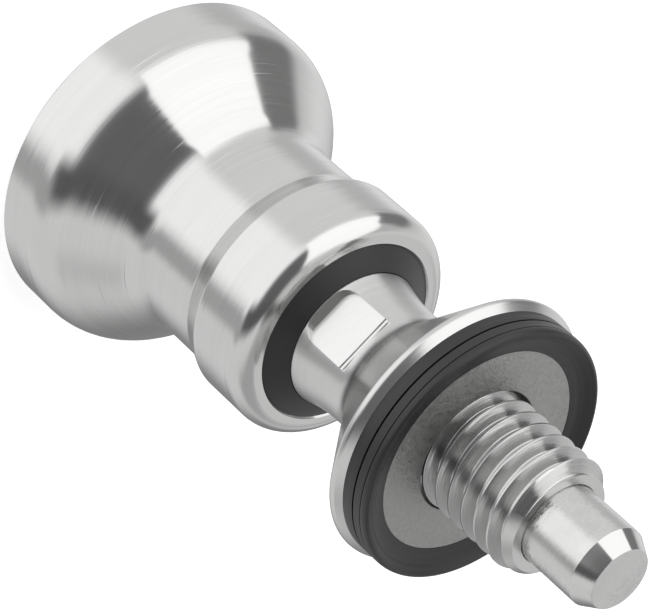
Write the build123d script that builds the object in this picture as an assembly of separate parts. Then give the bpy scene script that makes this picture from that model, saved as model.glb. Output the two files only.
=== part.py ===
from build123d import *
import math
import os

# Spring-loaded indexing plunger with a round pull knob, in the washable, gap-free style.
# Millimetres. +Z runs along the axis, from the knob's closed rear face at z = 0 to the
# tip of the index pin. Everything stands as it does with the pin sprung out.

# --- Pull knob -------------------------------------------------------------------------
knob_radius = 17.0
knob_length = 30.5
rear_band_length = 6.1
cone_angle = 41.4
waist_wall = 3.5
mouth_wall = 2.55
collar_length = 7.1
collar_taper_length = 2.3
hub_thickness = 9.0
hub_floor = 2.5
mouth_chamfer = 0.15
rear_edge_chamfer = 0.2
cone_edge_rounding = 1.25
waist_rounding = 8.0
taper_rounding = 0.8
collar_front_rounding = 2.0

# --- Wiper in the knob's mouth ---------------------------------------------------------
wiper_width = 2.2
wiper_depth = 3.5
wiper_lip_rise = 1.15
wiper_lip_land = 0.3
wiper_relief = 0.45
wiper_relief_rise = 0.9
wiper_bead_height = 0.35
wiper_bead_length = 1.2

# --- Guide body ------------------------------------------------------------------------
guide_radius = 7.0
knob_to_flange = 16.7
guide_edge_beyond_lip = 0.05
guide_edge_angle = 16.0
guide_edge_rounding = 0.5
guide_neck_rounding = 15.0
neck_step = 0.65
flare_angle = 44.0
flare_rounding = 3.0
rim_overhang = 0.84
rim_front_chamfer = 0.9
rim_rounding = 0.58
across_flats = 11.0
flat_length = 5.3
flat_corner_rounding = 0.5
thread_radius = 6.0
thread_depth = 1.07
thread_relief_undercut = 0.08
thread_length = 13.2
thread_end_chamfer = 0.95
pin_bore_length = 20.0
bore_mouth_chamfer = 0.08
pin_stop_step = 0.6
bush_seat_step = 0.4
tail_edge_chamfer = 0.3

# --- Seat on the flange ----------------------------------------------------------------
washer_thickness = 2.2
washer_radius = 10.3
washer_hole_clearance = 0.22
seal_width = 2.63
seal_crest_inset = 0.5
seal_crest_height = 0.85
seal_valley_inset = 1.43
seal_valley_height = 0.32
seal_inner_height = 0.03
seal_edge_height = 0.22
seal_slit_width = 0.18
seal_slit_depth = 0.35
seal_slit_drop = 0.85

# --- Index pin -------------------------------------------------------------------------
pin_radius = 4.0
pin_projection = 8.0
pin_lead_length = 1.75
pin_lead_depth = 0.95
pin_shoulder_length = 2.0
rod_radius = 2.5
rod_end_chamfer = 0.5

# --- Inner pieces ----------------------------------------------------------------------
o_ring_groove_depth = 1.35
o_ring_groove_width = 2.0
o_ring_groove_setback = 1.8
o_ring_side_clearance = 0.2
thrust_washer_thickness = 0.5
spring_wire_diameter = 0.9
spring_active_coils = 7.5
spring_end_coils = 1.0
spring_end_pitch = 0.95
bush_length = 5.0
bush_chamfer = 0.3
snap_wire_radius = 0.4
snap_ring_setback = 1.2
snap_ring_gap_angle = 45.0
nut_across_flats = 8.0
nut_height = 2.7

# --- Clearances ------------------------------------------------------------------------
running_clearance = 0.03
shoulder_clearance = 0.1
sleeve_clearance = 0.3
washer_side_clearance = 0.1
snap_groove_clearance = 0.02
stud_end_clearance = 0.5
nut_to_tail_clearance = 0.8

# --- Stations along the axis and radii that follow -------------------------------------
flange_face_z = knob_length + knob_to_flange
washer_front_z = flange_face_z + washer_thickness
thread_end_z = flange_face_z + thread_length
pin_tip_z = thread_end_z + pin_projection
pin_stop_z = thread_end_z - pin_bore_length
pin_shoulder_rear_z = pin_stop_z - pin_shoulder_length
spring_front_z = pin_shoulder_rear_z - thrust_washer_thickness
tail_z = hub_thickness + nut_height + nut_to_tail_clearance
snap_ring_z = tail_z + snap_ring_setback
bush_rear_z = snap_ring_z + snap_wire_radius
bush_front_z = bush_rear_z + bush_length
wiper_rear_z = knob_length - wiper_depth
wiper_lip_z = knob_length + wiper_lip_rise
guide_front_z = wiper_lip_z + guide_edge_beyond_lip
sleeve_radius = guide_radius + sleeve_clearance
waist_radius = sleeve_radius + waist_wall
wiper_radius = guide_radius + wiper_width
wiper_bead_radius = wiper_radius + wiper_bead_height
wiper_bead_front_z = wiper_rear_z + wiper_bead_length
collar_radius = wiper_radius + mouth_wall
neck_radius = guide_radius - neck_step
thread_root_radius = thread_radius - thread_depth
thread_relief_radius = thread_root_radius - thread_relief_undercut
pin_bore_radius = pin_radius + running_clearance
chamber_radius = pin_radius + pin_stop_step
tail_bore_radius = chamber_radius + bush_seat_step
pin_shoulder_radius = chamber_radius - shoulder_clearance
spring_mean_radius = (rod_radius + chamber_radius) / 2
o_ring_groove_radius = pin_radius + o_ring_groove_depth
seal_radius = washer_radius + seal_width
rim_radius = seal_radius + rim_overhang


def turned(outline):
    """Turn a closed (radius, z) outline into a solid round the Z axis."""
    return revolve(Plane.XZ * outline, Axis.Z)


def rounded(outline, corner, radius):
    """Round the outline's corner that lies at the given (radius, z)."""
    nearest = outline.vertices().sort_by_distance((corner[0], corner[1], 0))[0]
    return fillet(nearest, radius)


def disc(radius, low_z, high_z):
    """A plain cylinder between two heights."""
    return Pos(0, 0, low_z) * extrude(Circle(radius), high_z - low_z)


def grip_knob():
    """Solid rear with a tapped hub, and a skirt that slides over the guide body."""
    cone_foot = (knob_radius, rear_band_length)
    cone_length = (knob_radius - waist_radius) / math.tan(math.radians(cone_angle))
    waist_start = (waist_radius, rear_band_length + cone_length)
    collar_start = (collar_radius, knob_length - collar_length)
    taper_start = (waist_radius, collar_start[1] - collar_taper_length)
    collar_front = (collar_radius, knob_length)
    outline = make_face(
        Polyline(
            (0, 0),
            (knob_radius, 0),
            cone_foot,
            waist_start,
            taper_start,
            collar_start,
            collar_front,
            (0, knob_length),
            close=True,
        )
    )
    outline = rounded(outline, cone_foot, cone_edge_rounding)
    outline = rounded(outline, waist_start, waist_rounding)
    outline = rounded(outline, taper_start, taper_rounding)
    outline = rounded(outline, collar_start, taper_rounding)
    outline = rounded(outline, collar_front, collar_front_rounding)
    knob = turned(outline)
    knob = chamfer(knob.edges().group_by(Axis.Z)[0], rear_edge_chamfer)

    knob -= disc(sleeve_radius, hub_thickness, knob_length)
    knob -= disc(wiper_radius, wiper_rear_z, knob_length)
    knob -= disc(wiper_bead_radius, wiper_rear_z, wiper_bead_front_z)
    knob -= disc(rod_radius, hub_floor, hub_thickness)
    mouth = knob.edges().group_by(Axis.Z)[-1].sort_by(Edge.length)[0]
    return chamfer(mouth, mouth_chamfer)


def wiper_ring():
    """Rubber ring in the knob's mouth: a bead snaps into the knob, a lip runs on the guide body."""
    lip_radius = guide_radius + running_clearance
    relief_radius = guide_radius + wiper_relief
    return turned(
        make_face(
            Polyline(
                (relief_radius, wiper_rear_z),
                (wiper_bead_radius, wiper_rear_z),
                (wiper_bead_radius, wiper_bead_front_z),
                (wiper_radius, wiper_bead_front_z),
                (wiper_radius, knob_length - mouth_chamfer),
                (lip_radius, wiper_lip_z),
                (lip_radius, wiper_lip_z - wiper_lip_land),
                (relief_radius, wiper_lip_z - wiper_relief_rise),
                close=True,
            )
        )
    )


def body_outline():
    """Outer outline of the guide body, from the tail to the end of the thread."""
    guide_front = (guide_radius, guide_front_z)
    edge_length = (guide_radius - neck_radius) / math.tan(math.radians(guide_edge_angle))
    neck_rear = (neck_radius, guide_front_z + edge_length)
    rim = (rim_radius, flange_face_z - rim_front_chamfer)
    flare_length = (rim_radius - neck_radius) / math.tan(math.radians(flare_angle))
    flare_foot = (neck_radius, rim[1] - flare_length)
    relief_depth = thread_radius - thread_relief_radius
    outline = make_face(
        Polyline(
            (0, tail_z),
            (guide_radius - tail_edge_chamfer, tail_z),
            (guide_radius, tail_z + tail_edge_chamfer),
            guide_front,
            neck_rear,
            flare_foot,
            rim,
            (seal_radius, flange_face_z),
            (thread_relief_radius, flange_face_z),
            (thread_relief_radius, washer_front_z - relief_depth),
            (thread_radius, washer_front_z),
            (thread_radius, thread_end_z - thread_end_chamfer),
            (thread_radius - thread_end_chamfer, thread_end_z),
            (0, thread_end_z),
            close=True,
        )
    )
    outline = rounded(outline, guide_front, guide_edge_rounding)
    outline = rounded(outline, neck_rear, guide_neck_rounding)
    outline = rounded(outline, flare_foot, flare_rounding)
    return rounded(outline, rim, rim_rounding)


def spanner_flat_cutter():
    """Milled recess on the near side of the neck, with rounded ends, to be mirrored."""
    floor = across_flats / 2
    front_z = guide_front_z + flat_length
    slot = make_face(
        Polyline(
            (-rim_radius, guide_front_z),
            (-floor, guide_front_z),
            (-floor, front_z),
            (-rim_radius, front_z),
            close=True,
        )
    )
    slot = rounded(slot, (-floor, guide_front_z), flat_corner_rounding)
    slot = rounded(slot, (-floor, front_z), flat_corner_rounding)
    return extrude(Plane.YZ * slot, guide_radius, both=True)


def guide_body():
    """Turned body: guide tube, neck with two flats, flared flange and threaded end."""
    body = turned(body_outline())
    cutter = spanner_flat_cutter()
    body -= cutter
    body -= mirror(cutter, Plane.XZ)

    body -= disc(pin_bore_radius, pin_stop_z, thread_end_z)
    body -= disc(chamber_radius, bush_front_z, pin_stop_z)
    body -= disc(tail_bore_radius, tail_z, bush_front_z)
    body -= o_ring_groove()
    body -= snap_ring_groove()
    mouth = body.edges().group_by(Axis.Z)[-1].sort_by(Edge.length)[0]
    return chamfer(mouth, bore_mouth_chamfer)


def o_ring_groove():
    """Room for the O-ring, inside the flange where the wall is thick."""
    front_z = flange_face_z - o_ring_groove_setback + o_ring_groove_width / 2
    return disc(o_ring_groove_radius, front_z - o_ring_groove_width, front_z)


def snap_ring_groove():
    """Half-round groove near the tail, for the wire ring that holds the bush."""
    groove = Pos(tail_bore_radius, snap_ring_z) * Circle(snap_wire_radius + snap_groove_clearance)
    return turned(groove)


def support_washer():
    """Flat washer on the flange, inside the sealing ring."""
    washer = disc(washer_radius, flange_face_z, washer_front_z)
    return washer - disc(thread_radius + washer_hole_clearance, flange_face_z, washer_front_z)


def sealing_ring():
    """Rubber ring bonded round the washer: dished front face, fine slit round its side."""
    crest = (seal_radius - seal_crest_inset, washer_front_z + seal_crest_height)
    valley = (seal_radius - seal_valley_inset, washer_front_z + seal_valley_height)
    inner = (washer_radius, washer_front_z + seal_inner_height)
    edge = (seal_radius, washer_front_z + seal_edge_height)
    corner = (seal_radius, crest[1])
    outline = make_face(
        Curve()
        + [
            Polyline(inner, (washer_radius, flange_face_z), (seal_radius, flange_face_z), edge),
            Bezier(edge, corner, crest),
            ThreePointArc(crest, valley, inner),
        ]
    )
    ring = turned(outline)
    slit_z = washer_front_z - seal_slit_drop
    slit = disc(seal_radius, slit_z - seal_slit_width / 2, slit_z + seal_slit_width / 2)
    slit_floor = disc(seal_radius - seal_slit_depth, slit_z - seal_slit_width, slit_z + seal_slit_width)
    return ring - (slit - slit_floor)


def index_pin():
    """Ground pin with a lead chamfer, a stop shoulder and a rod that ends in the knob."""
    rod_end_z = hub_floor + stud_end_clearance
    return turned(
        make_face(
            Polyline(
                (0, rod_end_z),
                (rod_radius - rod_end_chamfer, rod_end_z),
                (rod_radius, rod_end_z + rod_end_chamfer),
                (rod_radius, pin_shoulder_rear_z),
                (pin_shoulder_radius, pin_shoulder_rear_z),
                (pin_shoulder_radius, pin_stop_z),
                (pin_radius, pin_stop_z),
                (pin_radius, pin_tip_z - pin_lead_length),
                (pin_radius - pin_lead_depth, pin_tip_z),
                (0, pin_tip_z),
                close=True,
            )
        )
    )


def pin_o_ring():
    """O-ring squeezed between the groove and the pin."""
    inner_radius = pin_radius + running_clearance
    squeezed = (o_ring_groove_radius - inner_radius) / 2
    half_width = o_ring_groove_width / 2 - o_ring_side_clearance
    section = Pos(inner_radius + squeezed, flange_face_z - o_ring_groove_setback)
    return turned(section * Ellipse(squeezed, half_width))


def thrust_washer():
    """Thin washer that carries the spring and lets the pin turn under it."""
    washer = disc(chamber_radius - washer_side_clearance, spring_front_z, pin_shoulder_rear_z)
    return washer - disc(rod_radius + washer_side_clearance, spring_front_z, pin_shoulder_rear_z)


def spring():
    """Compression spring with closed, ground ends, between the bush and the thrust washer."""
    length = spring_front_z - bush_front_z
    end_rise = spring_end_pitch * spring_end_coils
    total_coils = spring_active_coils + 2 * spring_end_coils
    active_pitch = (length - 2 * end_rise) / spring_active_coils
    points_per_coil = 8

    def rise(coil):
        """Height of the wire's centre after so many coils from the rear end."""
        from_front = total_coils - coil
        if coil < spring_end_coils:
            return spring_end_pitch * coil
        if from_front < spring_end_coils:
            return length - spring_end_pitch * from_front
        return end_rise + active_pitch * (coil - spring_end_coils)

    def point(step):
        """Point on the wire's centre line."""
        angle = 2 * math.pi * step / points_per_coil
        x = spring_mean_radius * math.cos(angle)
        y = spring_mean_radius * math.sin(angle)
        return (x, y, bush_front_z + rise(step / points_per_coil))

    steps = round(total_coils * points_per_coil)
    centre_line = Spline([point(step) for step in range(steps + 1)])
    section = Plane(origin=centre_line @ 0, z_dir=centre_line % 0) * Circle(spring_wire_diameter / 2)
    wire = sweep(section, path=centre_line, is_frenet=True)
    return wire & disc(chamber_radius, bush_front_z, spring_front_z)


def rear_bush():
    """Plain bush in the tail: guides the rod and carries the spring's rear end."""
    bush = disc(tail_bore_radius, bush_rear_z, bush_front_z)
    bush = chamfer(bush.edges().group_by(Axis.Z)[0], bush_chamfer)
    return bush - disc(rod_radius + running_clearance, bush_rear_z, bush_front_z)


def snap_ring():
    """Open ring of round wire, sprung into its groove behind the bush."""
    section = Plane.XZ * Pos(tail_bore_radius, snap_ring_z) * Circle(snap_wire_radius)
    return revolve(section, Axis.Z, 360 - snap_ring_gap_angle)


def lock_nut():
    """Thin hexagon nut on the rod, tightened against the knob's hub."""
    rear_z = hub_thickness
    half_flats = nut_across_flats / 2
    corner_radius = half_flats / math.cos(math.radians(30))
    corner_drop = (corner_radius - half_flats) * math.tan(math.radians(30))
    hexagon = RegularPolygon(half_flats, 6, major_radius=False)
    nut = Pos(0, 0, rear_z) * extrude(hexagon, nut_height)
    crown = make_face(
        Polyline(
            (0, rear_z),
            (half_flats, rear_z),
            (corner_radius, rear_z + corner_drop),
            (corner_radius, rear_z + nut_height - corner_drop),
            (half_flats, rear_z + nut_height),
            (0, rear_z + nut_height),
            close=True,
        )
    )
    nut &= turned(crown)
    return nut - disc(rod_radius, rear_z, rear_z + nut_height)


pieces = {
    "grip_knob": grip_knob,
    "wiper_ring": wiper_ring,
    "guide_body": guide_body,
    "support_washer": support_washer,
    "sealing_ring": sealing_ring,
    "index_pin": index_pin,
    "pin_o_ring": pin_o_ring,
    "thrust_washer": thrust_washer,
    "spring": spring,
    "rear_bush": rear_bush,
    "snap_ring": snap_ring,
    "lock_nut": lock_nut,
}

os.makedirs("parts", exist_ok=True)
for name, build in pieces.items():
    export_step(build(), f"parts/{name}.step")
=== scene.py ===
import math
from functools import partial

import bmesh
import bpy
from mathutils import Matrix, Vector


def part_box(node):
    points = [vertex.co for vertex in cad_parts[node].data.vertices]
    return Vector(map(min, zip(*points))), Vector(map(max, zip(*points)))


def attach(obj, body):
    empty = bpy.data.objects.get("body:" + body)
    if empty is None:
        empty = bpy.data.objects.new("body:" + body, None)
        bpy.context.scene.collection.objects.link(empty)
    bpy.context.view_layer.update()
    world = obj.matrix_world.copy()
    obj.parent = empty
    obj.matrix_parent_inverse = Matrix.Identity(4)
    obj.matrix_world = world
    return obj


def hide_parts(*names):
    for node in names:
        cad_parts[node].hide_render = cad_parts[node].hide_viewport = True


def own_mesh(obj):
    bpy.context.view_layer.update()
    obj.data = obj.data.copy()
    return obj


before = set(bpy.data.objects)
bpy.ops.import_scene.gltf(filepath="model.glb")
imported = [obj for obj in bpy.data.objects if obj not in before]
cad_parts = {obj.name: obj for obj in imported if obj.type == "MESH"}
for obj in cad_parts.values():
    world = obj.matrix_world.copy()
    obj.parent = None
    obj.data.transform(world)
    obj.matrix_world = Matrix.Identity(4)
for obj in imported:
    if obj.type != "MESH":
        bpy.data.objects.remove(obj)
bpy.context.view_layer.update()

bl_info = {
    "name": "Indexing Plunger",
    "version": (1, 0, 0),
    "blender": (4, 5, 0),
    "location": "3D View > Sidebar > Plunger",
    "description": "Builds a spring-loaded indexing plunger with a round pull knob",
    "category": "Add Mesh",
}

# Lowest and highest corners of the pieces' boxes, read from the frame so that they can't drift.
KNOB_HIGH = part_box("grip_knob")[1]
WASHER_LOW, WASHER_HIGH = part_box("support_washer")
BODY_LOW, BODY_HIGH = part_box("guide_body")
PIN_LOW, PIN_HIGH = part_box("index_pin")
SPRING_LOW, SPRING_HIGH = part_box("spring")
WIPER_LOW, WIPER_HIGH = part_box("wiper_ring")

MM = 0.001
FULL_TURN = 2 * math.pi
TURN_STEPS = 320
THREAD_STEPS = 144
COIL_STEPS = 48
CORNER_STEPS = 8
ARC_STEP = math.radians(6)
SHARP_ANGLE = math.radians(24)
MERGE_DISTANCE = 0.000001
CUT_DISTANCE = 0.00000001

# Details that two pieces share.
MOUTH_LIP = 0.35 * MM
MOUTH_CHAMFER = 0.15 * MM
BEAD_HIGH = WIPER_LOW.z + 1.2 * MM
PIN_STOP = BODY_HIGH.z - 20 * MM

# Places of a piece's second and third finish in its list of materials.
SECOND_FINISH = 1
THIRD_FINISH = 2


# --- Sizes and colours -----------------------------------------------------------------


def length(name, description, millimetres):
    """A length that a user can change, given in millimetres."""
    return bpy.props.FloatProperty(
        name=name, description=description, default=millimetres * MM, min=0, precision=5, unit="LENGTH"
    )


def angle(name, description, degrees):
    """An angle that a user can change, given in degrees."""
    return bpy.props.FloatProperty(
        name=name, description=description, default=math.radians(degrees), unit="ROTATION"
    )


def colour(name, description, red, green, blue):
    """A colour that a user can change."""
    return bpy.props.FloatVectorProperty(
        name=name,
        description=description,
        default=(red, green, blue),
        min=0,
        max=1,
        subtype="COLOR",
    )


class KnobSizes(bpy.types.PropertyGroup):
    """Sizes of the pull knob and of the wiper in its mouth."""

    rear_band: length("Rear band", "Length of the cylindrical band at the rear", 6.1)
    cone_angle: angle("Cone angle", "Angle between the cone and the axis", 41.4)
    waist_radius: length("Waist radius", "Radius of the narrow waist", 10.8)
    collar_radius: length("Collar radius", "Radius of the collar at the mouth", 11.75)
    collar_length: length("Collar length", "Length of the collar", 7.1)
    taper_length: length("Taper length", "Length of the taper between waist and collar", 2.3)
    cone_rounding: length("Cone edge rounding", "Rounding where the band meets the cone", 5.6)
    waist_rounding: length("Waist rounding", "Rounding at the foot of the cone", 4.5)
    collar_rounding: length("Collar rounding", "Rounding of the collar's front edge", 2.0)
    rear_chamfer: length("Rear chamfer", "Chamfer of the rear edge", 0.45)
    sleeve_radius: length("Sleeve radius", "Radius of the skirt's bore", 7.3)
    hub_thickness: length("Hub thickness", "Thickness of the solid rear", 9.0)


class BodySizes(bpy.types.PropertyGroup):
    """Sizes of the turned guide body and its thread."""

    guide_radius: length("Guide radius", "Radius of the part that the knob slides on", 7.0)
    neck_radius: length("Neck radius", "Radius of the neck behind the flange", 6.35)
    edge_angle: angle("Guide edge angle", "Angle between the guide's front edge and the axis", 16.0)
    flare_angle: angle("Flare angle", "Angle between the flare and the axis", 44.0)
    across_flats: length("Across flats", "Distance between the two spanner flats", 11.0)
    flat_length: length("Flat length", "Length of each spanner flat along the axis", 5.75)
    flat_width: length("Flat width", "Width of each spanner flat round the neck", 5.9)
    flat_rounding: length("Flat corner rounding", "Rounding of the flat's two rear corners", 1.3)
    flat_run_out: length("Flat run-out", "Radius of the cutter's run-out at the flat's front end", 0.75)
    rim_radius: length("Rim radius", "Radius of the flange's rim", 13.77)
    rim_rounding: length("Rim rounding", "Rounding of the flange's rim", 0.58)
    thread_radius: length("Thread radius", "Radius over the thread's crests", 6.0)
    thread_depth: length("Thread depth", "Depth of the thread", 1.07)
    thread_pitch: length("Thread pitch", "Distance from one turn to the next", 1.75)
    thread_chamfer: length("Thread chamfer", "Chamfer at the thread's end", 0.95)
    thread_start: angle("Thread start", "Where the thread starts, round the axis", 35.0)
    bore_radius: length("Bore radius", "Radius of the pin's bore", 4.03)


class SealSizes(bpy.types.PropertyGroup):
    """Sizes of the washer and the sealing ring on the flange."""

    washer_radius: length("Washer radius", "Outer radius of the support washer", 10.3)
    hole_radius: length("Hole radius", "Radius of the washer's hole", 6.22)
    seal_radius: length("Seal radius", "Outer radius of the sealing ring", 12.93)
    slit_width: length("Slit width", "Width of the slit round the ring's side", 0.18)
    slit_depth: length("Slit depth", "Depth of the slit round the ring's side", 0.35)
    edge_height: length("Edge height", "Height of the ring's outer edge over the washer", 0.22)
    crest_inset: length("Crest inset", "Distance of the ring's crest from its outside", 0.42)
    crest_height: length("Crest height", "Height of the ring's crest over the washer", 0.95)
    valley_inset: length("Valley inset", "Distance of the dished face's lowest bend from the outside", 1.43)
    valley_height: length("Valley height", "Height of that bend over the washer", 0.12)


class PinSizes(bpy.types.PropertyGroup):
    """Sizes of the index pin and its spring."""

    pin_radius: length("Pin radius", "Radius of the ground pin", 4.0)
    lead_length: length("Lead length", "Length of the chamfer at the tip", 1.75)
    lead_depth: length("Lead depth", "Depth of the chamfer at the tip", 0.95)
    rod_radius: length("Rod radius", "Radius of the rod behind the pin", 2.5)
    wire_radius: length("Wire radius", "Radius of the spring's wire", 0.45)
    coil_radius: length("Coil radius", "Radius of the spring's coil, to the wire's centre", 3.55)


class Finishes(bpy.types.PropertyGroup):
    """Colours of the metals and of the rubber."""

    steel: colour("Steel", "Turned stainless steel", 0.62, 0.62, 0.615)
    blasted: colour("Blasted steel", "Matte steel of the washer", 0.39, 0.39, 0.385)
    bronze: colour("Bronze", "Bronze of the bush", 0.55, 0.36, 0.18)
    rubber: colour("Rubber", "Black rubber of the seals", 0.018, 0.018, 0.019)


class StageSettings(bpy.types.PropertyGroup):
    """Floor, light and camera."""

    floor: colour("Floor", "Colour of the floor", 0.9, 0.9, 0.9)
    brightness: bpy.props.FloatProperty(
        name="Dome brightness", description="Strength of the studio dome", default=1.0, min=0, soft_max=2
    )


# --- Drawing and turning ---------------------------------------------------------------


def draw_outline(bm, corners, closed):
    """Draw an outline in the XZ plane. A corner is (radius, height) or (radius, height, rounding)."""
    places = [Vector((corner[0], 0, corner[1])) for corner in corners]
    first = last = None
    for index, corner in enumerate(corners):
        here = places[index]
        if len(corner) > 2:
            before = (places[index - 1] - here).normalized()
            after = (places[(index + 1) % len(places)] - here).normalized()
            turn = math.pi - before.angle(after)
            start = bm.verts.new(here + before * corner[2] * math.tan(turn / 2))
            centre = here + (before + after).normalized() * corner[2] / math.cos(turn / 2)
            side = math.copysign(turn, after.cross(before).y)
            steps = max(4, math.ceil(turn / ARC_STEP))
            arc = bmesh.ops.spin(
                bm, geom=[start], cent=centre, axis=(0, 1, 0), angle=side, steps=steps,
                use_merge=False, use_duplicate=False,
            )
            end = arc["geom_last"][0]
        else:
            start = end = bm.verts.new(here)
        if last:
            bm.edges.new((last, start))
        first = first or start
        last = end
    if closed:
        bm.edges.new((last, first))


def bend(start, corner, end, steps=12):
    """Corners of a smooth bend that leaves start towards a corner and reaches end from it."""
    start, corner, end = Vector(start), Vector(corner), Vector(end)
    shares = [step / steps for step in range(steps + 1)]
    return [tuple(start.lerp(corner, part).lerp(corner.lerp(end, part), part)) for part in shares]


def turned(corners, closed=True):
    """A mesh turned round the Z axis from an outline; an open one ends on the axis or at a ring."""
    bm = bmesh.new()
    draw_outline(bm, corners, closed)
    bmesh.ops.spin(
        bm, geom=bm.verts[:] + bm.edges[:], cent=(0, 0, 0), axis=(0, 0, 1),
        angle=FULL_TURN, steps=TURN_STEPS, use_merge=True, use_duplicate=False,
    )
    return bm


def add_piece(name, bm, body, node, slot, *finishes):
    """Close the mesh, point its faces outwards and hang it on a body in place of a node."""
    bmesh.ops.remove_doubles(bm, verts=bm.verts, dist=MERGE_DISTANCE)
    bmesh.ops.recalc_face_normals(bm, faces=bm.faces)
    for face in bm.faces:
        face.smooth = True
    mesh = bpy.data.meshes.new(name)
    bm.to_mesh(mesh)
    bm.free()
    mesh.set_sharp_from_angle(angle=SHARP_ANGLE)
    for finish in finishes:
        mesh.materials.append(bpy.data.materials[finish])
    piece = bpy.data.objects.new(name, mesh)
    bpy.context.scene.collection.objects.link(piece)
    weighted = piece.modifiers.new("even_normals", "WEIGHTED_NORMAL")
    weighted.keep_sharp = True
    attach(piece, body)
    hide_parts(node)
    return piece


# --- Shader nodes ----------------------------------------------------------------------


def new_group(name, outputs, **inputs):
    """A shader node group with named outputs, and number inputs given as Name=default."""
    group = bpy.data.node_groups.new(name, "ShaderNodeTree")
    for socket, default in inputs.items():
        item = group.interface.new_socket(
            socket.replace("_", " "), in_out="INPUT", socket_type="NodeSocketFloat"
        )
        item.default_value = default
    for socket, kind in outputs.items():
        group.interface.new_socket(socket, in_out="OUTPUT", socket_type=kind)
    return group, group.nodes.new("NodeGroupInput"), group.nodes.new("NodeGroupOutput")


def feed(tree, value, socket):
    """Link an output into a socket, or set the socket to a plain value."""
    if isinstance(value, bpy.types.NodeSocket):
        tree.links.new(value, socket)
    else:
        socket.default_value = value


def maths(tree, operation, *values, clamp=False):
    """A Math node fed by outputs or plain numbers; returns its output."""
    node = tree.nodes.new("ShaderNodeMath")
    node.operation = operation
    node.use_clamp = clamp
    for socket, value in zip(node.inputs, values):
        feed(tree, value, socket)
    return node.outputs[0]


def arithmetic(tree):
    """Short forms of the commonest Math nodes of a tree: add, subtract and multiply."""
    return [partial(maths, tree, operation) for operation in ("ADD", "SUBTRACT", "MULTIPLY")]


def vector_maths(tree, operation, *values):
    """A Vector Math node; returns its vector."""
    node = tree.nodes.new("ShaderNodeVectorMath")
    node.operation = operation
    for socket, value in zip(node.inputs, values):
        feed(tree, value, socket)
    return node.outputs["Vector"]


def scaled(tree, vector, factor):
    """A vector times a number."""
    node = tree.nodes.new("ShaderNodeVectorMath")
    node.operation = "SCALE"
    tree.links.new(vector, node.inputs[0])
    tree.links.new(factor, node.inputs["Scale"])
    return node.outputs["Vector"]


def parts_of(tree, vector):
    """The three coordinates of a vector."""
    node = tree.nodes.new("ShaderNodeSeparateXYZ")
    tree.links.new(vector, node.inputs[0])
    return node.outputs


def vector_of(tree, *parts):
    """A vector made of its first coordinates; the others stay at nothing."""
    node = tree.nodes.new("ShaderNodeCombineXYZ")
    for socket, part in zip(node.inputs, parts):
        tree.links.new(part, socket)
    return node.outputs[0]


def object_place(tree):
    """The shaded point in its object's own coordinates."""
    return tree.nodes.new("ShaderNodeTexCoord").outputs["Object"]


def to_world(tree, direction):
    """A direction of the object, turned into the world's."""
    node = tree.nodes.new("ShaderNodeVectorTransform")
    node.vector_type = "VECTOR"
    node.convert_from = "OBJECT"
    node.convert_to = "WORLD"
    feed(tree, direction, node.inputs[0])
    return node.outputs[0]


def round_axis(tree, place):
    """World direction that runs round the Z axis at an object coordinate."""
    x, y, _ = parts_of(tree, place)
    along = vector_of(tree, maths(tree, "MULTIPLY", y, -1.0), x)
    return vector_maths(tree, "NORMALIZE", to_world(tree, along))


def smooth_step(tree, value, low, high):
    """A Map Range node that steps smoothly from 0 to 1; returns its output."""
    node = tree.nodes.new("ShaderNodeMapRange")
    node.interpolation_type = "SMOOTHSTEP"
    for socket, given in zip(node.inputs, (value, low, high, 0.0, 1.0)):
        feed(tree, given, socket)
    return node.outputs["Result"]


def blend(tree, factor, first, second):
    """A Mix node between two numbers; returns its result."""
    node = tree.nodes.new("ShaderNodeMix")
    node.data_type = "FLOAT"
    for name, value in (("Factor", factor), ("A", first), ("B", second)):
        feed(tree, value, node.inputs[name])
    return node.outputs["Result"]


def noise(tree, vector, w, detail, roughness):
    """A four-dimensional noise, which has no seam round a turned piece."""
    node = tree.nodes.new("ShaderNodeTexNoise")
    node.noise_dimensions = "4D"
    tree.links.new(vector, node.inputs["Vector"])
    tree.links.new(w, node.inputs["W"])
    node.inputs["Scale"].default_value = 1.0
    node.inputs["Detail"].default_value = detail
    node.inputs["Roughness"].default_value = roughness
    return node.outputs["Fac"]


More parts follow.
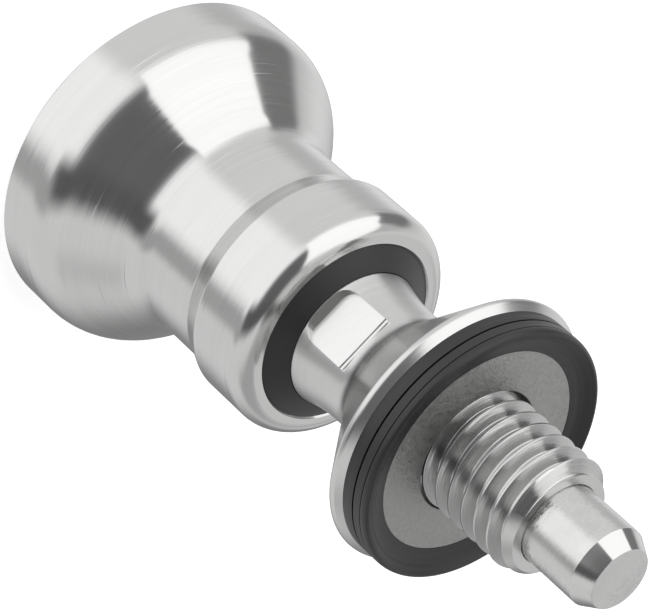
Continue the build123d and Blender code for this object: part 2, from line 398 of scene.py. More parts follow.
def lathe_marks_group():
    """Tool marks that run round the axis: they tip the normal along the outline and change its shine."""
    group, given, out = new_group(
        "lathe_marks",
        {"Normal": "NodeSocketVector", "Roughness": "NodeSocketFloat", "Tone": "NodeSocketFloat"},
        Rings_per_Metre=6000.0, Change_Round=60.0, Depth=0.05, Scratches=0.0,
        Roughness=0.25, Roughness_Change=0.08,
    )
    add, subtract, multiply = arithmetic(group)
    get = given.outputs
    place = object_place(group)
    x, y, z = parts_of(group, place)
    radius = maths(group, "SQRT", add(multiply(x, x), multiply(y, y)))
    mean = 0.5
    broad_depth = 0.3
    scratch_low, scratch_high = 0.72, 0.8

    def rings(spacing, change, detail):
        """Noise stretched round the axis, at shares of the given rings and of their change round it."""
        along = multiply(get["Rings per Metre"], spacing)
        round_it = multiply(get["Change Round"], change)
        vector = vector_of(group, multiply(x, round_it), multiply(y, round_it), multiply(z, along))
        return noise(group, vector, multiply(radius, along), detail, roughness=0.6)

    fine = rings(spacing=1.0, change=1.0, detail=2.0)
    broad = rings(spacing=0.12, change=0.5, detail=2.0)
    slope = add(subtract(fine, mean), multiply(subtract(broad, mean), broad_depth))
    slope = multiply(slope, get["Depth"])
    scratch = smooth_step(group, rings(spacing=1.4, change=1.0, detail=0.0), scratch_low, scratch_high)
    slope = add(slope, multiply(scratch, get["Scratches"]))
    normal = group.nodes.new("ShaderNodeNewGeometry").outputs["Normal"]
    along_outline = vector_maths(group, "CROSS_PRODUCT", normal, round_axis(group, place))
    along_outline = vector_maths(group, "NORMALIZE", along_outline)
    tipped = vector_maths(group, "ADD", normal, scaled(group, along_outline, slope))
    group.links.new(vector_maths(group, "NORMALIZE", tipped), out.inputs["Normal"])
    change = multiply(subtract(fine, mean), get["Roughness Change"])
    group.links.new(add(get["Roughness"], change, clamp=True), out.inputs["Roughness"])
    group.links.new(add(multiply(fine, 0.5), multiply(broad, 0.5)), out.inputs["Tone"])
    return group


def grain_group():
    """Even grain without a direction, for blasted metal and for rubber."""
    group, given, out = new_group(
        "surface_grain",
        {"Height": "NodeSocketFloat", "Roughness": "NodeSocketFloat", "Tone": "NodeSocketFloat"},
        Grain_per_Metre=5000.0, Roughness=0.5, Roughness_Change=0.1,
    )
    add, subtract, multiply = arithmetic(group)
    get = given.outputs
    place = object_place(group)
    mean = 0.5
    broad_height = 0.5

    def grain(share):
        """Plain noise at a share of the given scale."""
        node = group.nodes.new("ShaderNodeTexNoise")
        group.links.new(place, node.inputs["Vector"])
        group.links.new(multiply(get["Grain per Metre"], share), node.inputs["Scale"])
        node.inputs["Detail"].default_value = 3.0
        return node.outputs["Fac"]

    fine = grain(1.0)
    broad = grain(0.5)
    group.links.new(add(fine, multiply(broad, broad_height)), out.inputs["Height"])
    change = multiply(subtract(broad, mean), get["Roughness Change"])
    group.links.new(add(get["Roughness"], change, clamp=True), out.inputs["Roughness"])
    group.links.new(broad, out.inputs["Tone"])
    return group


# --- Materials -------------------------------------------------------------------------


def toned(tint, factor):
    """A tint made lighter or darker, no lighter than white."""
    return [min(1, channel * factor) for channel in tint]


def finish_base(name, group, tint, tone_swing, metallic, **values):
    """A Principled material whose colour, roughness and normal follow a surface group."""
    material = bpy.data.materials.new(name)
    material.use_nodes = True
    tree = material.node_tree
    shader = tree.nodes["Principled BSDF"]
    surface = tree.nodes.new("ShaderNodeGroup")
    surface.node_tree = group
    for socket, value in values.items():
        surface.inputs[socket.replace("_", " ")].default_value = value
    mix = tree.nodes.new("ShaderNodeMix")
    mix.data_type = "RGBA"
    mix.inputs["A"].default_value = (*toned(tint, 1 - tone_swing), 1)
    mix.inputs["B"].default_value = (*toned(tint, 1 + tone_swing), 1)
    tree.links.new(surface.outputs["Tone"], mix.inputs["Factor"])
    tree.links.new(mix.outputs["Result"], shader.inputs["Base Color"])
    tree.links.new(surface.outputs["Roughness"], shader.inputs["Roughness"])
    shader.inputs["Metallic"].default_value = metallic
    return material, tree, shader, surface


def turned_finish(name, group, tint, tone_swing, anisotropy, metallic=1.0, **values):
    """A surface with marks round the Z axis, and a shine that is stretched across them."""
    material, tree, shader, surface = finish_base(name, group, tint, tone_swing, metallic, **values)
    tree.links.new(surface.outputs["Normal"], shader.inputs["Normal"])
    tree.links.new(round_axis(tree, object_place(tree)), shader.inputs["Tangent"])
    quarter_turn = 0.25
    shader.inputs["Anisotropic"].default_value = anisotropy
    shader.inputs["Anisotropic Rotation"].default_value = quarter_turn
    return material


def grained_finish(name, group, tint, tone_swing, metallic, strength, distance, **values):
    """A material with even grain, which a Bump node raises."""
    material, tree, shader, surface = finish_base(name, group, tint, tone_swing, metallic, **values)
    bump = tree.nodes.new("ShaderNodeBump")
    bump.inputs["Strength"].default_value = strength
    bump.inputs["Distance"].default_value = distance
    tree.links.new(surface.outputs["Height"], bump.inputs["Height"])
    tree.links.new(bump.outputs["Normal"], shader.inputs["Normal"])
    return material


def milled_steel(group, tint):
    """Bright milled steel, whose fine cutter marks all lean towards the thread."""
    material = grained_finish(
        "milled_steel", group, toned(tint, 1.15), tone_swing=0.06, metallic=1.0,
        strength=0.3, distance=0.006 * MM,
        Grain_per_Metre=4000.0, Roughness=0.3, Roughness_Change=0.1,
    )
    lean = 0.22
    tree = material.node_tree
    bump = tree.nodes["Bump"].outputs["Normal"]
    leaning = vector_maths(tree, "ADD", bump, to_world(tree, (0, 0, lean)))
    shader = tree.nodes["Principled BSDF"]
    tree.links.new(vector_maths(tree, "NORMALIZE", leaning), shader.inputs["Normal"])
    return material


class PLUNGER_OT_finishes(bpy.types.Operator):
    """Make the metals and the rubber, and give the inner CAD pieces theirs"""

    bl_idname = "plunger.finishes"
    bl_label = "Finishes"

    def execute(self, context):
        colours = context.scene.plunger_finishes
        marks = lathe_marks_group()
        grain = grain_group()
        turned_steel = turned_finish(
            "lathe_steel", marks, colours.steel, tone_swing=0.1, anisotropy=0.85,
            Rings_per_Metre=6500.0, Change_Round=80.0, Depth=0.12, Scratches=0.25,
            Roughness=0.15, Roughness_Change=0.1,
        )
        turned_finish(
            "body_steel", marks, colours.steel, tone_swing=0.06, anisotropy=0.6,
            Rings_per_Metre=5000.0, Change_Round=60.0, Depth=0.05,
            Roughness=0.26, Roughness_Change=0.06,
        )
        turned_finish(
            "thread_steel", marks, toned(colours.steel, 0.8), tone_swing=0.3, anisotropy=1.0,
            Rings_per_Metre=9000.0, Change_Round=160.0, Depth=0.6,
            Roughness=0.19, Roughness_Change=0.2,
        )
        ground_steel = turned_finish(
            "pin_steel", marks, colours.steel, tone_swing=0.16, anisotropy=0.5,
            Rings_per_Metre=5000.0, Change_Round=1600.0, Depth=0.45,
            Roughness=0.26, Roughness_Change=0.3,
        )
        milled_steel(grain, colours.steel)
        grained_finish(
            "washer_steel", grain, colours.blasted, tone_swing=0.3, metallic=1.0,
            strength=1.0, distance=0.05 * MM,
            Grain_per_Metre=4200.0, Roughness=0.5, Roughness_Change=0.3,
        )
        spring_steel = grained_finish(
            "wire_steel", grain, colours.steel, tone_swing=0.1, metallic=1.0,
            strength=0.2, distance=0.004 * MM,
            Grain_per_Metre=6000.0, Roughness=0.3, Roughness_Change=0.15,
        )
        bronze = turned_finish(
            "bush_metal", marks, colours.bronze, tone_swing=0.08, anisotropy=0.6,
            Rings_per_Metre=6000.0, Change_Round=80.0, Depth=0.1,
            Roughness=0.28, Roughness_Change=0.12,
        )
        turned_finish(
            "ring_rubber", marks, colours.rubber, tone_swing=0.3, anisotropy=0.0, metallic=0.0,
            Rings_per_Metre=3500.0, Change_Round=12.0, Depth=0.7,
            Roughness=0.4, Roughness_Change=0.3,
        )
        rubber = grained_finish(
            "seal_rubber", grain, colours.rubber, tone_swing=0.25, metallic=0.0,
            strength=0.25, distance=0.01 * MM,
            Grain_per_Metre=7000.0, Roughness=0.42, Roughness_Change=0.12,
        )
        for node, material in (
            ("pin_o_ring", rubber),
            ("thrust_washer", ground_steel),
            ("rear_bush", bronze),
            ("snap_ring", spring_steel),
            ("lock_nut", turned_steel),
        ):
            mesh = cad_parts[node].data
            mesh.materials.clear()
            mesh.materials.append(material)
        return {"FINISHED"}


# --- Pieces ----------------------------------------------------------------------------


class PLUNGER_OT_knob(bpy.types.Operator):
    """Turn the pull knob: rear band, cone, waist and collar, with the bore for the body"""

    bl_idname = "plunger.knob"
    bl_label = "Pull Knob"

    def execute(self, context):
        sizes = context.scene.plunger_knob
        radius, high = KNOB_HIGH.x, KNOB_HIGH.z
        cone_length = (radius - sizes.waist_radius) / math.tan(sizes.cone_angle)
        collar_low = high - sizes.collar_length
        taper_rounding = 0.8 * MM
        hub_floor = 2.5 * MM
        bead_radius = WIPER_HIGH.x
        mouth_radius = bead_radius - MOUTH_LIP
        rod_radius = context.scene.plunger_pin.rod_radius
        bm = turned(
            [
                (0, 0),
                (radius - sizes.rear_chamfer, 0),
                (radius, sizes.rear_chamfer),
                (radius, sizes.rear_band, sizes.cone_rounding),
                (sizes.waist_radius, sizes.rear_band + cone_length, sizes.waist_rounding),
                (sizes.waist_radius, collar_low - sizes.taper_length, taper_rounding),
                (sizes.collar_radius, collar_low, taper_rounding),
                (sizes.collar_radius, high, sizes.collar_rounding),
                (mouth_radius + MOUTH_CHAMFER, high),
                (mouth_radius, high - MOUTH_CHAMFER),
                (mouth_radius, BEAD_HIGH),
                (bead_radius, BEAD_HIGH),
                (bead_radius, WIPER_LOW.z),
                (sizes.sleeve_radius, WIPER_LOW.z),
                (sizes.sleeve_radius, sizes.hub_thickness),
                (rod_radius, sizes.hub_thickness),
                (rod_radius, hub_floor),
                (0, hub_floor),
            ],
            closed=False,
        )
        add_piece("pull_knob", bm, "plunger", "grip_knob", "turned_steel", "lathe_steel")
        return {"FINISHED"}


class PLUNGER_OT_wiper(bpy.types.Operator):
    """Turn the rubber wiper that sits in the knob's mouth"""

    bl_idname = "plunger.wiper"
    bl_label = "Wiper"

    def execute(self, context):
        guide_radius = context.scene.plunger_body.guide_radius
        lip_radius = guide_radius + 0.03 * MM
        relief = guide_radius + 0.45 * MM
        lip_height, relief_depth = 0.3 * MM, 0.9 * MM
        bead_rounding, outer_rounding, lip_rounding = 0.1 * MM, 0.08 * MM, 0.05 * MM
        bead_radius = WIPER_HIGH.x
        outer = bead_radius - MOUTH_LIP
        low, high = WIPER_LOW.z, WIPER_HIGH.z
        bm = turned(
            [
                (relief, low),
                (bead_radius, low, bead_rounding),
                (bead_radius, BEAD_HIGH, bead_rounding),
                (outer, BEAD_HIGH),
                (outer, KNOB_HIGH.z - MOUTH_CHAMFER, outer_rounding),
                (lip_radius, high, lip_rounding),
                (lip_radius, high - lip_height),
                (relief, high - relief_depth),
            ]
        )
        add_piece("wiper", bm, "plunger", "wiper_ring", "black_rubber", "seal_rubber")
        return {"FINISHED"}


def thread_section(sizes):
    """One pitch of the thread's outline from root to root, from (radius, 0) upwards."""
    flank_angle = math.radians(30)
    crest_share = 1 / 9
    root_rounding, crest_rounding = 0.12 * MM, 0.05 * MM
    crest_radius, pitch = sizes.thread_radius, sizes.thread_pitch
    root = crest_radius - sizes.thread_depth
    flank = sizes.thread_depth * math.tan(flank_angle)
    crest = pitch * crest_share
    root_half = (pitch - crest - 2 * flank) / 2
    return [
        (root, 0),
        (root, root_half, root_rounding),
        (crest_radius, root_half + flank, crest_rounding),
        (crest_radius, root_half + flank + crest, crest_rounding),
        (root, pitch - root_half, root_rounding),
        (root, pitch),
    ]


class PLUNGER_OT_body(bpy.types.Operator):
    """Turn the guide body, mill its two flats and cut its thread"""

    bl_idname = "plunger.body"
    bl_label = "Guide Body"

    def execute(self, context):
        sizes = context.scene.plunger_body
        flange, front = WASHER_LOW.z, WASHER_HIGH.z
        tail, end = BODY_LOW.z, BODY_HIGH.z
        seal_radius = context.scene.plunger_seal.seal_radius
        guide_front = WIPER_HIGH.z + 0.05 * MM
        edge_length = (sizes.guide_radius - sizes.neck_radius) / math.tan(sizes.edge_angle)
        rim_height = flange - 0.9 * MM
        flare_length = (sizes.rim_radius - sizes.neck_radius) / math.tan(sizes.flare_angle)
        flare_rounding, neck_rounding, guide_rounding = 3.0 * MM, 15.0 * MM, 0.5 * MM
        relief = sizes.thread_radius - sizes.thread_depth - 0.08 * MM
        thread_low = front - 0.6 * MM
        tail_chamfer, mouth_chamfer = 0.3 * MM, 0.08 * MM
        chamber, tail_bore = 4.6 * MM, 5.0 * MM
        bush_front = SPRING_LOW.z
        groove_radius = 5.35 * MM
        groove_high = flange - 0.8 * MM
        groove_low = groove_high - 2 * MM
        bm = turned(
            [
                (relief, thread_low),
                (relief, flange),
                (seal_radius, flange),
                (sizes.rim_radius, rim_height, sizes.rim_rounding),
                (sizes.neck_radius, rim_height - flare_length, flare_rounding),
                (sizes.neck_radius, guide_front + edge_length, neck_rounding),
                (sizes.guide_radius, guide_front, guide_rounding),
                (sizes.guide_radius, tail + tail_chamfer),
                (sizes.guide_radius - tail_chamfer, tail),
                (tail_bore, tail),
                (tail_bore, bush_front),
                (chamber, bush_front),
                (chamber, PIN_STOP),
                (sizes.bore_radius, PIN_STOP),
                (sizes.bore_radius, groove_low),
                (groove_radius, groove_low),
                (groove_radius, groove_high),
                (sizes.bore_radius, groove_high),
                (sizes.bore_radius, end - mouth_chamfer),
                (sizes.bore_radius + mouth_chamfer, end),
            ],
            closed=False,
        )
        bmesh.ops.remove_doubles(bm, verts=bm.verts, dist=MERGE_DISTANCE)
        self.mill_flats(bm, sizes, guide_front)
        self.cut_thread(bm, sizes, thread_low, end)
        metals = ("body_steel", "thread_steel", "milled_steel")
        add_piece("body_turned", bm, "body", "guide_body", "turned_steel", *metals)
        return {"FINISHED"}

    def mill_flats(self, bm, sizes, rear):
        """Sink a flat into each side of the neck: rounded at its rear corners, run out at its front."""
        half, front = sizes.flat_width / 2, rear + sizes.flat_length
        rounding, run_out = sizes.flat_rounding, sizes.flat_run_out
        start = front - run_out
        groove = 0.1 * MM
        turns = [step / CORNER_STEPS * math.pi / 2 for step in range(1, CORNER_STEPS)]
        corners = [Vector((hand * (half - rounding), 0, rear + rounding)) for hand in (1, -1)]
        along, across = (0, 0, 1), (1, 0, 0)
        cuts = [((0, 0, height), along) for height in (rear, front)]
        cuts += [((x, 0, 0), across) for x in (half, -half)]
        for corner in corners:
            for turn in turns:
                outwards = Vector((math.copysign(math.cos(turn), corner.x), 0, -math.sin(turn)))
                cuts.append((corner + outwards * rounding, outwards))
        heights = [start - 2 * groove, start - groove, start]
        heights += [start + run_out * math.sin(turn) for turn in turns]
        cuts += [((0, 0, height), along) for height in heights]

        def rise(height):
            """How far the cutter stands over the flat's floor at a height."""
            if abs(height - start + groove) < groove / 2:
                return -groove
            return run_out - math.sqrt(max(0, run_out**2 - max(0, height - start) ** 2))

        def inside(place):
            """Whether a place lies within the flat's outline."""
            if abs(place.x) > half or not rear < place.z < front:
                return False
            near = corners[0] if place.x > 0 else corners[1]
            off = Vector((max(0, abs(place.x) - abs(near.x)), 0, max(0, near.z - place.z)))
            return off.length < rounding

        for side in (1, -1):
            neck = [
                face for face in bm.faces
                if rear - MM < face.calc_center_median().z < front + MM
                and face.calc_center_median().y * side > 0
            ]
            zone = geometry_of(neck)
            for place, normal in cuts:
                zone = cut_plane(bm, zone, place, normal)
            floor = [item for item in zone if isinstance(item, bmesh.types.BMFace)]
            floor = [face for face in floor if face.is_valid and inside(face.calc_center_median())]
            sunk = bmesh.ops.extrude_face_region(bm, geom=floor)["geom"]
            bmesh.ops.delete(bm, geom=[face for face in floor if face.is_valid], context="FACES")
            for item in sunk:
                if isinstance(item, bmesh.types.BMVert):
                    depth = sizes.across_flats / 2 + rise(item.co.z)
                    item.co.y = side * min(abs(item.co.y), depth)
                elif isinstance(item, bmesh.types.BMFace):
                    item.material_index = THIRD_FINISH

    def cut_thread(self, bm, sizes, low, high):
        """Wind the thread, trim it to length and join it to the body's two open rings."""
        turns = math.ceil((high - low) / sizes.thread_pitch) + 2
        thread = wound_thread(sizes, low - sizes.thread_pitch, turns)
        for height, above in ((low, False), (high, True)):
            bmesh.ops.bisect_plane(
                thread, geom=geometry_of(thread.faces), dist=CUT_DISTANCE, plane_co=(0, 0, height),
                plane_no=(0, 0, 1), clear_outer=above, clear_inner=not above,
            )
        end_radius = sizes.thread_radius - sizes.thread_chamfer
        for vertex in thread.verts:
            reach = math.hypot(vertex.co.x, vertex.co.y)
            limit = end_radius + high - vertex.co.z
            if reach > limit:
                vertex.co.x *= limit / reach
                vertex.co.y *= limit / reach
        skin = 0.06 * MM
        for face in thread.faces:
            place = face.calc_center_median()
            reach = math.hypot(place.x, place.y)
            limit = min(sizes.thread_radius, end_radius + high - place.z)
            if sizes.thread_radius - sizes.thread_depth + skin < reach < limit - skin:
                face.material_index = SECOND_FINISH
        mesh = bpy.data.meshes.new("thread")
        thread.to_mesh(mesh)
        thread.free()
        bm.from_mesh(mesh)
        bpy.data.meshes.remove(mesh)
        tolerance = 0.001 * MM
        for height in (low, high):
            rim = [
                edge for edge in bm.edges
                if edge.is_boundary and all(abs(v.co.z - height) < tolerance for v in edge.verts)
            ]
            bmesh.ops.triangle_fill(bm, edges=rim, use_beauty=True, normal=(0, 0, 1))


def wound_thread(sizes, low, turns):
    """The thread's helical surface: one turn wound from the section, then copied upwards."""
    bm = bmesh.new()
    draw_outline(bm, thread_section(sizes), closed=False)
    bmesh.ops.translate(bm, verts=bm.verts, vec=(0, 0, low))
    bmesh.ops.spin(
        bm, geom=bm.verts[:] + bm.edges[:], cent=(0, 0, 0), axis=(0, 0, 1),
        dvec=(0, 0, sizes.thread_pitch / THREAD_STEPS), angle=FULL_TURN, steps=THREAD_STEPS,
        use_merge=False, use_duplicate=False,
    )
    bmesh.ops.rotate(bm, verts=bm.verts, matrix=Matrix.Rotation(sizes.thread_start, 3, "Z"))
    turn = geometry_of(bm.faces)
    for number in range(1, turns):
        copy = bmesh.ops.duplicate(bm, geom=turn)["geom"]
        vertices = [item for item in copy if isinstance(item, bmesh.types.BMVert)]
        bmesh.ops.translate(bm, verts=vertices, vec=(0, 0, sizes.thread_pitch * number))
    bmesh.ops.remove_doubles(bm, verts=bm.verts, dist=MERGE_DISTANCE)
    return bm


def geometry_of(faces):
    """The faces with their edges and vertices, as the cutting operators take them."""
    edges = dict.fromkeys(edge for face in faces for edge in face.edges)
    vertices = dict.fromkeys(vertex for face in faces for vertex in face.verts)
    return [*vertices, *edges, *faces]


def cut_plane(bm, zone, place, normal):
    """Cut a zone of the mesh along a plane and return the zone with its new geometry."""
    cut = bmesh.ops.bisect_plane(
        bm, geom=zone, dist=CUT_DISTANCE, plane_co=place, plane_no=normal,
        clear_outer=False, clear_inner=False,
    )
    return cut["geom"]


class PLUNGER_OT_seal(bpy.types.Operator):
    """Turn the support washer and the sealing ring round it"""

    bl_idname = "plunger.seal"
    bl_label = "Washer and Seal"

    def execute(self, context):
        sizes = context.scene.plunger_seal
        low, high = WASHER_LOW.z, WASHER_HIGH.z
        hole_rounding, edge_rounding = 0.08 * MM, 0.05 * MM
        washer = turned(
            [
                (sizes.hole_radius, low),
                (sizes.washer_radius, low),
                (sizes.washer_radius, high, edge_rounding),
                (sizes.hole_radius, high, hole_rounding),
            ]
        )
        add_piece("washer", washer, "body", "support_washer", "blasted_steel", "washer_steel")
        outer = sizes.seal_radius
        slit = high - 0.85 * MM
        half = sizes.slit_width / 2
        base_rounding, slit_rounding = 0.06 * MM, 0.04 * MM
        edge = (outer, high + sizes.edge_height)
        crest = (outer - sizes.crest_inset, high + sizes.crest_height)
        valley = (outer - sizes.valley_inset, high + sizes.valley_height)
        inner = (sizes.washer_radius, high + 0.03 * MM)
        mould_line = 0.12 * MM
        ring = turned(
            [
                (sizes.washer_radius, low),
                (outer, low, base_rounding),
                (outer, slit - half, slit_rounding),
                (outer - sizes.slit_depth, slit - half),
                (outer - sizes.slit_depth, slit + half),
                (outer, slit + half, slit_rounding),
                (outer, edge[1] - mould_line),
                (outer - mould_line, edge[1] - mould_line / 2),
                *bend(edge, (outer, crest[1]), crest),
                *bend(crest, valley, inner)[1:],
            ]
        )
        add_piece("seal", ring, "body", "sealing_ring", "black_rubber", "ring_rubber")
        return {"FINISHED"}


class PLUNGER_OT_pin(bpy.types.Operator):
    """Turn and grind the index pin"""

    bl_idname = "plunger.pin"
    bl_label = "Index Pin"

    def execute(self, context):
        sizes = context.scene.plunger_pin
        low, tip = PIN_LOW.z, PIN_HIGH.z
        end_chamfer = 0.5 * MM
        shoulder = 4.5 * MM
        shoulder_low = PIN_STOP - 2 * MM
        lead_low = tip - sizes.lead_length
        lead_rounding, tip_rounding = 0.12 * MM, 0.08 * MM
        bm = turned(
            [
                (0, low),
                (sizes.rod_radius - end_chamfer, low),
                (sizes.rod_radius, low + end_chamfer),
                (sizes.rod_radius, shoulder_low),
                (shoulder, shoulder_low),
                (shoulder, PIN_STOP),
                (sizes.pin_radius, PIN_STOP),
                (sizes.pin_radius, lead_low, lead_rounding),
                (sizes.pin_radius - sizes.lead_depth, tip, tip_rounding),
                (0, tip),
            ],
            closed=False,
        )
        skin = 0.05 * MM
        for face in bm.faces:
            if lead_low < face.calc_center_median().z < tip - skin:
                face.material_index = SECOND_FINISH
        add_piece("pin", bm, "plunger", "index_pin", "ground_steel", "pin_steel", "lathe_steel")
        return {"FINISHED"}


class PLUNGER_OT_spring(bpy.types.Operator):
    """Wind the compression spring, with closed and ground ends"""

    bl_idname = "plunger.spring"
    bl_label = "Spring"

    def execute(self, context):
        sizes = context.scene.plunger_pin
        low, high = SPRING_LOW.z, SPRING_HIGH.z
        end_pitch = 0.95 * MM
        active_coils = 7.5
        active_pitch = (high - low - 2 * end_pitch) / active_coils
        upright = Matrix.Rotation(math.pi / 2, 3, "X")
        bm = bmesh.new()
        wire = bmesh.ops.create_circle(bm, segments=20, radius=sizes.wire_radius)["verts"]
        bmesh.ops.rotate(bm, verts=wire, cent=(0, 0, 0), matrix=upright)
        bmesh.ops.translate(bm, verts=wire, vec=(sizes.coil_radius, 0, low))
        last = bm.verts[:] + bm.edges[:]
        for coils, pitch in ((1, end_pitch), (active_coils, active_pitch), (1, end_pitch)):
            steps = round(COIL_STEPS * coils)
            wound = bmesh.ops.spin(
                bm, geom=last, cent=(0, 0, 0), axis=(0, 0, 1), dvec=(0, 0, pitch * coils / steps),
                angle=FULL_TURN * coils, steps=steps, use_merge=False, use_duplicate=False,
            )
            last = wound["geom_last"]
        bmesh.ops.holes_fill(bm, edges=[edge for edge in bm.edges if edge.is_boundary], sides=0)
        for vertex in bm.verts:
            vertex.co.z = min(max(vertex.co.z, low), high)
        coil = add_piece("coil_spring", bm, "body", "spring", "spring_steel", "wire_steel")
        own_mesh(coil)
        return {"FINISHED"}


# --- Stage -----------------------------------------------------------------------------


def panel_group():
    """Mask of one panel of the studio dome, by azimuth and elevation in degrees."""
    group, given, out = new_group(
        "dome_panel", {"Mask": "NodeSocketFloat"},
        Azimuth=0.0, Elevation=0.0, Centre=0.0, Half_Width=30.0, Bottom=0.0, Top=45.0,
        Lean=0.0, Side_Softness=2.0, End_Softness=4.0,
    )
    add, subtract, multiply = arithmetic(group)
    get = given.outputs
    elevation, softness = get["Elevation"], get["End Softness"]
    leaning = multiply(get["Lean"], elevation)
    offset = subtract(subtract(get["Azimuth"], get["Centre"]), leaning)
    offset = maths(group, "ABSOLUTE", maths(group, "WRAP", offset, 180.0, -180.0))
    outside = add(get["Half Width"], get["Side Softness"])
    within = subtract(get["Half Width"], get["Side Softness"])
    sides = smooth_step(group, offset, outside, within)
    bottom, top = get["Bottom"], get["Top"]
    above = smooth_step(group, elevation, subtract(bottom, softness), add(bottom, softness))
    below = smooth_step(group, elevation, add(top, softness), subtract(top, softness))
    group.links.new(multiply(multiply(sides, above), below), out.inputs[0])
    return group


# Metal shows what surrounds it: panels of the dome in degrees, each laid over the ones before it, as
# centre, half width, bottom, top, lean, side softness, end softness and light.
DOME_PANELS = (
    (20, 45, -90, 90, 0, 30, 1, 0.85),
    (60, 22, -90, 90, 0, 20, 1, 0.68),
    (62, 50, 16, 91, 0, 15, 8, 0.5),
    (95, 28, 24, 60, 0, 10, 8, 0.8),
    (77, 28, -90, 2, 0, 20, 7, 0.27),
    (155, 17, -90, 60, 0, 12, 10, 0.66),
    (159.5, 14.5, -18, 26, 0, 5, 8, 0.26),
    (-80, 34, -65, 12, 0, 9, 3, 1.32),
    (-151.5, 34.5, -4, 70, 0, 1.5, 5, 1.55),
    (-151, 20, 10, 66, -0.75, 2, 5, 1.55),
    (-76, 41, 18, 80, 0, 1.5, 8, 0.16),
    (-40, 14, -12, 75, 0, 9, 6, 0.13),
    (-53, 66, 67, 91, 0, 4, 3, 0.2),
    (0, 181, 77, 91, 0, 1, 3, 0.2),
    (-28, 11, -90, -6, 0, 6, 8, 0.5),
)
DOME_LIGHT = 0.92
BACKDROP_LIGHT = 1.0

# The floor spreads far past the view's edges. Its glow keeps it white and lights nothing.
FLOOR_HALF_WIDTH = 3.0
FLOOR_GLOW = 0.6

# The camera's place in metres, its turns in degrees, and its lens and sensor in millimetres.
CAMERA_PLACE = (0.010565, -0.253600, 0.214740)
CAMERA_TURNS = (-42.0945, -36.6446, 149.0484)
CAMERA_LENS = 194.145
CAMERA_SENSOR = 36.0


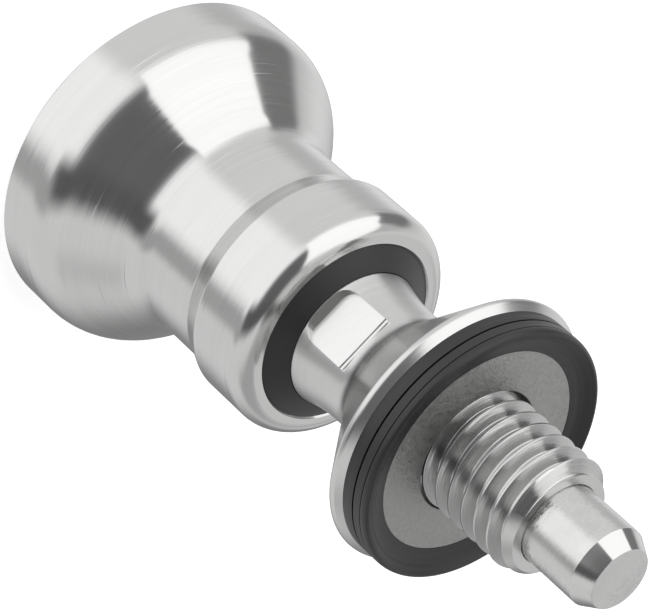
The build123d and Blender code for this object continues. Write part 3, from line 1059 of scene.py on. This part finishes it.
class PLUNGER_OT_stage(bpy.types.Operator):
    """Lay the floor, light the studio dome and place the camera"""

    bl_idname = "plunger.stage"
    bl_label = "Stage"

    def execute(self, context):
        settings = context.scene.plunger_stage
        self.lay_floor(settings)
        self.light_dome(context.scene, settings)
        self.place_camera(context.scene)
        context.scene.view_settings.view_transform = "Standard"
        return {"FINISHED"}

    def lay_floor(self, settings):
        """A wide pale floor under the knob, which shows to the camera but not in the metal."""
        bm = bmesh.new()
        bmesh.ops.create_grid(bm, x_segments=4, y_segments=4, size=FLOOR_HALF_WIDTH)
        mesh = bpy.data.meshes.new("floor")
        bm.to_mesh(mesh)
        bm.free()
        floor = bpy.data.objects.new("floor", mesh)
        bpy.context.scene.collection.objects.link(floor)
        material = bpy.data.materials.new("floor_paper")
        material.use_nodes = True
        tree = material.node_tree
        tree.nodes.remove(tree.nodes["Principled BSDF"])
        paper = tree.nodes.new("ShaderNodeBsdfDiffuse")
        paper.inputs["Color"].default_value = (*settings.floor, 1)
        glow = tree.nodes.new("ShaderNodeEmission")
        glow.inputs["Strength"].default_value = FLOOR_GLOW
        both = tree.nodes.new("ShaderNodeAddShader")
        tree.links.new(paper.outputs[0], both.inputs[0])
        tree.links.new(glow.outputs[0], both.inputs[1])
        tree.links.new(both.outputs[0], tree.nodes["Material Output"].inputs["Surface"])
        mesh.materials.append(material)
        floor.visible_glossy = False
        floor.visible_diffuse = False
        floor.visible_shadow = False

    def light_dome(self, scene, settings):
        """Grey light from all round, with lighter and darker panels; the camera sees a white backdrop."""
        world = bpy.data.worlds.new("studio_dome")
        world.use_nodes = True
        scene.world = world
        tree = world.node_tree
        x, y, z = parts_of(tree, tree.nodes.new("ShaderNodeTexCoord").outputs["Generated"])
        azimuth = maths(tree, "DEGREES", maths(tree, "ARCTAN2", y, x))
        elevation = maths(tree, "DEGREES", maths(tree, "ARCSINE", z))
        group = panel_group()
        light = DOME_LIGHT
        for *shape, panel_light in DOME_PANELS:
            node = tree.nodes.new("ShaderNodeGroup")
            node.node_tree = group
            for socket, value in zip(node.inputs, (azimuth, elevation, *shape)):
                feed(tree, value, socket)
            light = blend(tree, node.outputs["Mask"], light, panel_light)
        path = tree.nodes.new("ShaderNodeLightPath")
        seen = blend(tree, path.outputs["Is Camera Ray"], light, BACKDROP_LIGHT)
        background = tree.nodes["Background"]
        background.inputs["Strength"].default_value = settings.brightness
        tree.links.new(seen, background.inputs["Color"])

    def place_camera(self, scene):
        """A long lens on the side of one spanner flat, looking down on the thread and the pin."""
        data = bpy.data.cameras.new("camera")
        data.sensor_width = CAMERA_SENSOR
        data.lens = CAMERA_LENS
        data.clip_start = 0.01
        data.clip_end = 20.0
        camera = bpy.data.objects.new("camera", data)
        scene.collection.objects.link(camera)
        camera.location = CAMERA_PLACE
        camera.rotation_euler = [math.radians(turn) for turn in CAMERA_TURNS]
        scene.camera = camera


class PLUNGER_PT_panel(bpy.types.Panel):
    """Lists the plunger's pieces in the sidebar"""

    bl_idname = "PLUNGER_PT_panel"
    bl_label = "Indexing Plunger"
    bl_space_type = "VIEW_3D"
    bl_region_type = "UI"
    bl_category = "Plunger"

    def draw(self, context):
        for operator in OPERATORS:
            self.layout.operator(operator.bl_idname)
        for name in SETTINGS:
            settings = getattr(context.scene, name)
            box = self.layout.box()
            for key in settings.bl_rna.properties.keys():
                if key not in ("rna_type", "name"):
                    box.prop(settings, key)


SETTINGS = {
    "plunger_knob": KnobSizes,
    "plunger_body": BodySizes,
    "plunger_seal": SealSizes,
    "plunger_pin": PinSizes,
    "plunger_finishes": Finishes,
    "plunger_stage": StageSettings,
}

OPERATORS = (
    PLUNGER_OT_finishes,
    PLUNGER_OT_knob,
    PLUNGER_OT_wiper,
    PLUNGER_OT_body,
    PLUNGER_OT_seal,
    PLUNGER_OT_pin,
    PLUNGER_OT_spring,
    PLUNGER_OT_stage,
)


def register():
    for cls in (*SETTINGS.values(), *OPERATORS, PLUNGER_PT_panel):
        bpy.utils.register_class(cls)
    for name, cls in SETTINGS.items():
        setattr(bpy.types.Scene, name, bpy.props.PointerProperty(type=cls))


def unregister():
    for name in SETTINGS:
        delattr(bpy.types.Scene, name)
    for cls in (PLUNGER_PT_panel, *reversed(OPERATORS), *reversed(SETTINGS.values())):
        bpy.utils.unregister_class(cls)


def main():
    register()
    bpy.ops.plunger.stage()
    bpy.ops.plunger.finishes()
    bpy.ops.plunger.knob()
    bpy.ops.plunger.wiper()
    bpy.ops.plunger.body()
    bpy.ops.plunger.seal()
    bpy.ops.plunger.pin()
    bpy.ops.plunger.spring()


if __name__ == "__main__":
    main()
